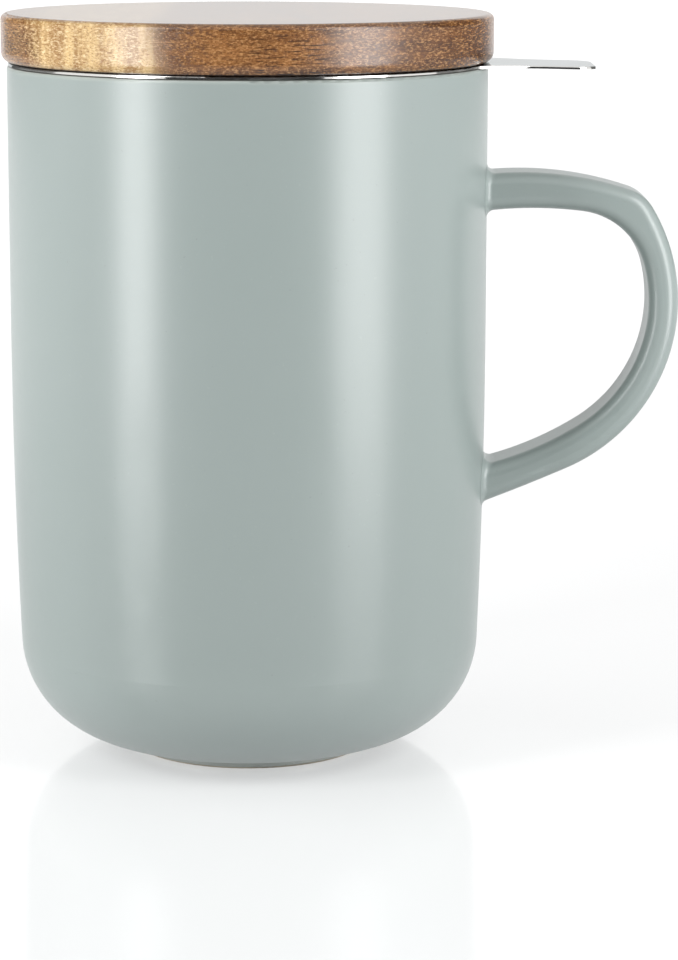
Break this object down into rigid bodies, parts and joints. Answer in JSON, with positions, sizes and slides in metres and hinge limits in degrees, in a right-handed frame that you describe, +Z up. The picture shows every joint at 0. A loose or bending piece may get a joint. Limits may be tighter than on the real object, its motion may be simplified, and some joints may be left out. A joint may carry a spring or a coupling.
{
  "type": "lidded tea mug with infuser",
  "caption": "Tall round stoneware tea mug with a loop handle, a drop-in steel infuser basket with a flange and tab, and a lift-off wooden lid with a seal.",
  "frame": {"origin": "centre of the foot ring on the table", "axes": "+Z up along the mug's axis, +X from the axis to the handle and the infuser's tab"},
  "size_m": [0.1229, 0.089, 0.1353],
  "materials": {
    "glazed_stoneware": "satin grey-green glaze",
    "polished_steel": "polished",
    "perforated_steel": "satin, finely perforated",
    "acacia": "oiled",
    "silicone": "translucent white"
  },
  "bodies": {
    "mug": {"mug_body": "glazed_stoneware", "mug_handle": "glazed_stoneware"},
    "infuser": {"infuser_rim": "polished_steel", "infuser_wall": "perforated_steel", "infuser_floor": "perforated_steel", "infuser_base_ring": "polished_steel"},
    "lid": {"lid_disc": "acacia", "lid_seal": "silicone"}
  },
  "joints": [
    {"name": "infuser_lift", "type": "slide", "parent": "mug", "child": "infuser", "axis": [0, 0, 1], "range_m": [0, 0.15]},
    {"name": "lid_lift", "type": "slide", "parent": "infuser", "child": "lid", "axis": [0, 0, 1], "range_m": [0, 0.08]}
  ]
}
